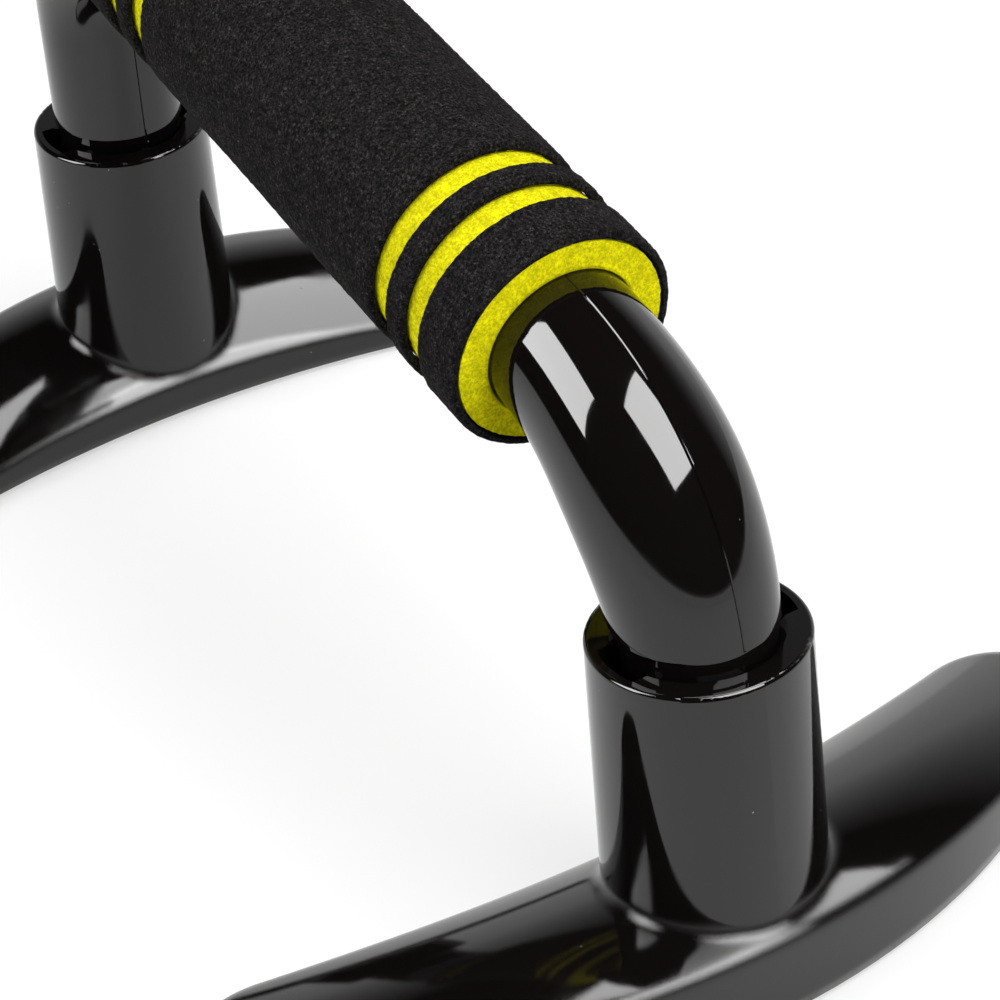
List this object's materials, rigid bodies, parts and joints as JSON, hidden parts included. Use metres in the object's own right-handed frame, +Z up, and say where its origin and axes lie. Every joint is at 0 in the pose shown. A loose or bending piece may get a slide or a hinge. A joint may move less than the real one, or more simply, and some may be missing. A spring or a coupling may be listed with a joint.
{
  "type": "push-up bar",
  "caption": "Push-up bar with a sloping foam-gripped handle, bent down at both ends into bowed feet that twist off.",
  "frame": {"origin": "on the floor, midway between the two feet", "axes": "+X along the handle towards its low front end, +Y along the feet, +Z up"},
  "size_m": [0.2518, 0.164, 0.136],
  "materials": {
    "handle_plastic": "glossy black moulded plastic",
    "foot_plastic": "glossy black moulded plastic",
    "skin_foam": "matt black closed-cell foam",
    "core_foam": "matt yellow-green closed-cell foam",
    "pad_rubber": "matt black rubber",
    "fastener_steel": "zinc-plated steel"
  },
  "bodies": {
    "handle": {"handle_shell_left": "handle_plastic", "handle_shell_right": "handle_plastic", "handle_screws": "fastener_steel", "grip_core": "core_foam", "grip_main_band": "skin_foam", "grip_ring_front": "skin_foam", "grip_ring_rear": "skin_foam", "grip_end_band_front": "skin_foam", "grip_end_band_rear": "skin_foam", "spigot_front": "handle_plastic", "spigot_rear": "handle_plastic", "spigot_pin_front": "fastener_steel", "spigot_pin_rear": "fastener_steel"},
    "front_foot": {"foot_front": "foot_plastic", "pad_front_left": "pad_rubber", "pad_front_right": "pad_rubber"},
    "rear_foot": {"foot_rear": "foot_plastic", "pad_rear_left": "pad_rubber", "pad_rear_right": "pad_rubber"}
  },
  "joints": [
    {"name": "front_foot_twist", "type": "hinge", "parent": "handle", "child": "front_foot", "pos_m": [0.1025, 0, 0.061], "axis": [-0.0523, 0, 0.9986], "range_deg": [0, 90]},
    {"name": "rear_foot_twist", "type": "hinge", "parent": "handle", "child": "rear_foot", "pos_m": [-0.1025, 0, 0.061], "axis": [0.0523, 0, 0.9986], "range_deg": [0, 90]}
  ]
}
